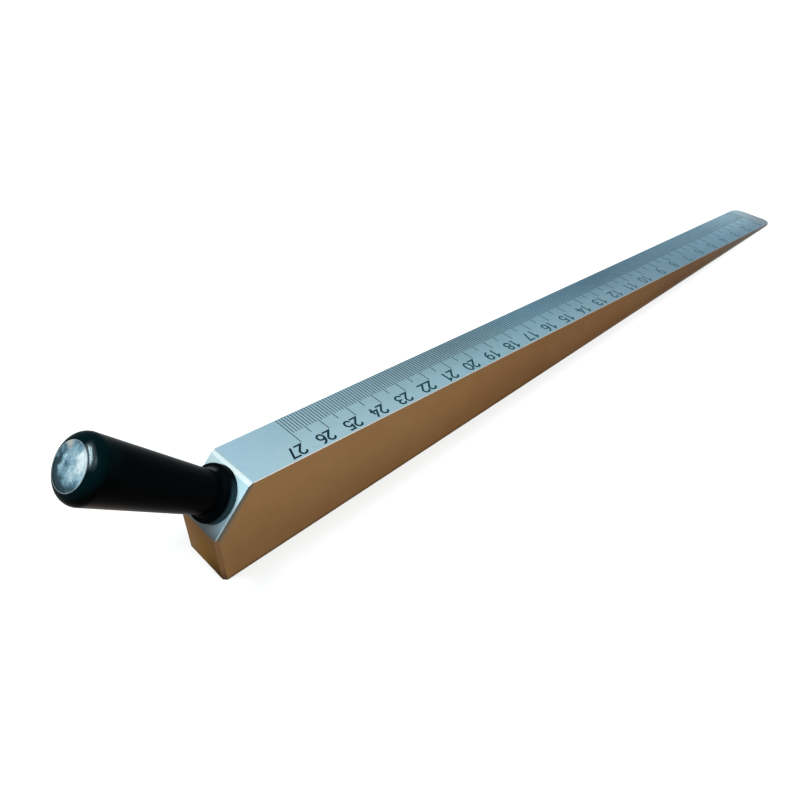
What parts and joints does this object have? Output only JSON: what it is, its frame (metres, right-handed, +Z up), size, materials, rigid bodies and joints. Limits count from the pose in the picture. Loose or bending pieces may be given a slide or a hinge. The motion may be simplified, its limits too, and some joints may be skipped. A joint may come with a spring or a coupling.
{
  "type": "wedge gauge",
  "caption": "Tapered steel bar with a millimetre scale on its sloping face and a turning grip at the thick end, for reading the height of a gap under a straightedge.",
  "frame": {"origin": "middle of the flat base of the bar", "axes": "+X along the base towards the thin tip, +Y towards the side edge where the scale lines start, +Z up from the base"},
  "size_m": [0.3301, 0.0186, 0.0599],
  "materials": {
    "bar_steel": "fine ground steel",
    "spindle_steel": "turned steel",
    "grip_black": "polished black moulding",
    "cap_steel": "bright plated steel with handling marks",
    "scale_marking": "dark fill in the cut scale"
  },
  "bodies": {
    "bar": {"wedge_bar": "bar_steel", "handle_spindle": "spindle_steel"},
    "grip": {"handle_grip": "grip_black", "end_cap": "cap_steel"}
  },
  "joints": [
    {"name": "grip_spin", "type": "hinge", "parent": "bar", "child": "grip", "pos_m": [-0.14307, 0, 0.02283], "axis": [-0.7071, 0, 0.7071], "continuous": true}
  ]
}
